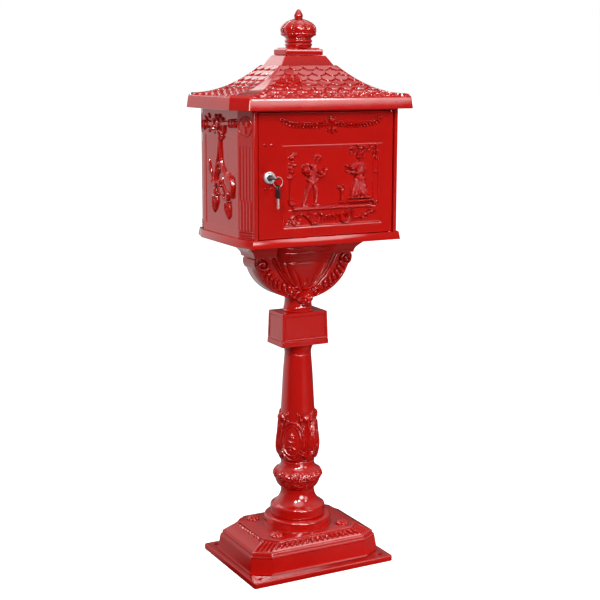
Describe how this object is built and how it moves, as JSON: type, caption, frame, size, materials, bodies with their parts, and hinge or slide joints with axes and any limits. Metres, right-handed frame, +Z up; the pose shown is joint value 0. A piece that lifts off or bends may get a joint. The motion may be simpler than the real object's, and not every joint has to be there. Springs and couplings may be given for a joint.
{
  "type": "mailbox",
  "caption": "Pillar mailbox: lockable cast letter box with a shingled pagoda roof on a turned column and a stepped bolt-down base.",
  "frame": {"origin": "on the ground under the column's axis", "axes": "+Z up the column, -Y out of the locked door, +X to the right seen from the door's side, where the door's hinge is"},
  "size_m": [0.4106, 0.3086, 1.17],
  "materials": {
    "red_coat": "gloss powder coat",
    "zinc_steel": "zinc plated",
    "chrome": "polished",
    "plug_steel": "dark plated",
    "black_plastic": "moulded, semi-gloss"
  },
  "bodies": {
    "root": {"base_casting": "red_coat", "column_shaft": "red_coat", "plinth_block": "red_coat", "bowl_bracket": "red_coat", "bracket_cornice": "red_coat", "floor_tray": "red_coat", "side_panel_left": "red_coat", "side_panel_right": "red_coat", "front_frame": "red_coat", "back_panel": "red_coat", "roof_shell": "red_coat", "finial_plate": "red_coat", "finial_crown": "red_coat", "base_clamp_bar": "zinc_steel", "tie_rod": "zinc_steel", "rod_washer_lower": "zinc_steel", "rod_nut_lower": "zinc_steel", "rod_washer_upper": "zinc_steel", "rod_nut_upper": "zinc_steel", "finial_stud": "zinc_steel", "finial_nut": "zinc_steel", "door_pin_lower": "zinc_steel", "door_pin_upper": "zinc_steel", "flap_hinge_pin": "zinc_steel", "tray_bolt_1": "zinc_steel", "tray_bolt_2": "zinc_steel", "tray_bolt_3": "zinc_steel", "tray_bolt_4": "zinc_steel", "frame_screw_1": "zinc_steel", "frame_screw_2": "zinc_steel", "frame_screw_3": "zinc_steel", "frame_screw_4": "zinc_steel", "back_screw_1": "zinc_steel", "back_screw_2": "zinc_steel", "back_screw_3": "zinc_steel", "back_screw_4": "zinc_steel", "tray_screw_1": "zinc_steel", "tray_screw_2": "zinc_steel", "tray_screw_3": "zinc_steel", "tray_screw_4": "zinc_steel", "roof_screw_1": "zinc_steel", "roof_screw_2": "zinc_steel", "roof_screw_3": "zinc_steel", "roof_screw_4": "zinc_steel"},
    "door": {"door_panel": "red_coat", "lock_housing": "chrome", "lock_nut": "zinc_steel"},
    "lock_plug": {"lock_plug": "plug_steel", "lock_cam": "zinc_steel", "cam_screw": "zinc_steel"},
    "door_key": {"door_key_blade": "zinc_steel", "door_key_head": "black_plastic"},
    "key_ring": {"key_ring": "chrome"},
    "spare_key": {"spare_key_blade": "zinc_steel", "spare_key_head": "black_plastic"},
    "mail_flap": {"mail_flap": "red_coat"}
  },
  "joints": [
    {"name": "door_hinge", "type": "hinge", "parent": "root", "child": "door", "pos_m": [0.1485, -0.1215, 0.845], "axis": [0, 0, 1], "range_deg": [0, 105]},
    {"name": "lock_turn", "type": "hinge", "parent": "door", "child": "lock_plug", "pos_m": [-0.131, -0.126, 0.843], "axis": [0, 1, 0], "range_deg": [0, 90]},
    {"name": "key_withdraw", "type": "slide", "parent": "lock_plug", "child": "door_key", "axis": [0, -1, 0], "range_m": [0, 0.03]},
    {"name": "ring_swing", "type": "hinge", "parent": "door_key", "child": "key_ring", "pos_m": [-0.125, -0.152, 0.843], "axis": [0, 1, 0], "range_deg": [-95, 0]},
    {"name": "spare_key_swing", "type": "hinge", "parent": "key_ring", "child": "spare_key", "pos_m": [-0.125, -0.152, 0.8265], "axis": [1, 0, 0], "range_deg": [-40, 15]},
    {"name": "flap_hinge", "type": "hinge", "parent": "root", "child": "mail_flap", "pos_m": [0, 0.1296, 0.955], "axis": [1, 0, 0], "range_deg": [0, 75]}
  ]
}
